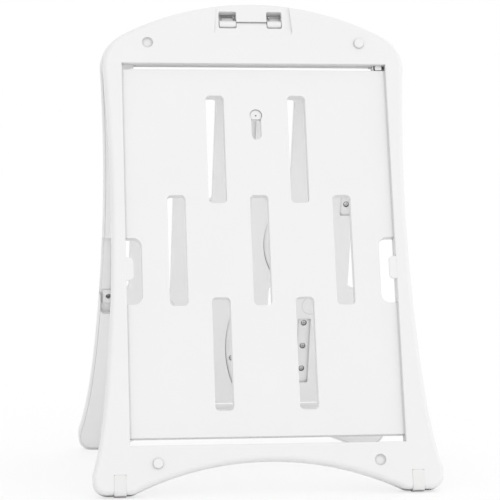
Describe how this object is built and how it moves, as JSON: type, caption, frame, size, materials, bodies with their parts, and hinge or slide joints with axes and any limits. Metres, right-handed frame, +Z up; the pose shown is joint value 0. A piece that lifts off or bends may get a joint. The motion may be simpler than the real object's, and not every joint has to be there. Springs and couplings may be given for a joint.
{
  "type": "folding board stand",
  "caption": "Folding A-frame board: two equal slotted plastic leaves with recessed sheet panels, hinged at the top and standing on padded feet.",
  "frame": {"origin": "on the floor, at the middle of the open stand, straight below the hinge", "axes": "+Z up, +X to the right along the hinge axis, -Y towards the front leaf"},
  "size_m": [0.773, 0.73, 1.0855],
  "materials": {
    "shell_plastic": "fine satin",
    "fitting_plastic": "smooth satin",
    "foot_rubber": "matt",
    "screw_steel": "zinc plated"
  },
  "bodies": {
    "front_leaf": {"front_back_cover": "shell_plastic", "front_cover_screw_01": "screw_steel", "front_cover_screw_02": "screw_steel", "front_cover_screw_03": "screw_steel", "front_cover_screw_04": "screw_steel", "front_cover_screw_05": "screw_steel", "front_cover_screw_06": "screw_steel", "front_cover_screw_07": "screw_steel", "front_cover_screw_08": "screw_steel", "front_cover_screw_09": "screw_steel", "front_cover_screw_10": "screw_steel", "front_cover_screw_11": "screw_steel", "front_cover_screw_12": "screw_steel", "front_cover_screw_13": "screw_steel", "front_fill_plug_left": "shell_plastic", "front_fill_plug_right": "shell_plastic", "front_foot_pad_left": "foot_rubber", "front_foot_pad_right": "foot_rubber", "front_hanger_plate": "shell_plastic", "front_leaf_shell": "shell_plastic", "front_stud_bottom": "fitting_plastic", "front_stud_top": "fitting_plastic", "hinge_pin_left": "screw_steel", "hinge_pin_right": "screw_steel", "hinge_bush_right": "fitting_plastic"},
    "rear_leaf": {"rear_back_cover": "shell_plastic", "rear_cover_screw_01": "screw_steel", "rear_cover_screw_02": "screw_steel", "rear_cover_screw_03": "screw_steel", "rear_cover_screw_04": "screw_steel", "rear_cover_screw_05": "screw_steel", "rear_cover_screw_06": "screw_steel", "rear_cover_screw_07": "screw_steel", "rear_cover_screw_08": "screw_steel", "rear_cover_screw_09": "screw_steel", "rear_cover_screw_10": "screw_steel", "rear_cover_screw_11": "screw_steel", "rear_cover_screw_12": "screw_steel", "rear_cover_screw_13": "screw_steel", "rear_fill_plug_left": "shell_plastic", "rear_fill_plug_right": "shell_plastic", "rear_foot_pad_left": "foot_rubber", "rear_foot_pad_right": "foot_rubber", "rear_hanger_plate": "shell_plastic", "rear_leaf_shell": "shell_plastic", "rear_stud_bottom": "fitting_plastic", "rear_stud_top": "fitting_plastic", "hinge_bush_left": "fitting_plastic"},
    "front_latch": {"front_sheet_latch": "fitting_plastic"},
    "rear_latch": {"rear_sheet_latch": "fitting_plastic"}
  },
  "joints": [
    {"name": "leaf_fold", "type": "hinge", "parent": "front_leaf", "child": "rear_leaf", "pos_m": [0, 0, 1.04022], "axis": [1, 0, 0], "range_deg": [-34.8, 0]},
    {"name": "front_latch_slide", "type": "slide", "parent": "front_leaf", "child": "front_latch", "axis": [0, 0.2997, 0.954], "range_m": [0, 0.008]},
    {"name": "rear_latch_slide", "type": "slide", "parent": "rear_leaf", "child": "rear_latch", "axis": [0, -0.2997, 0.954], "range_m": [0, 0.008]}
  ]
}
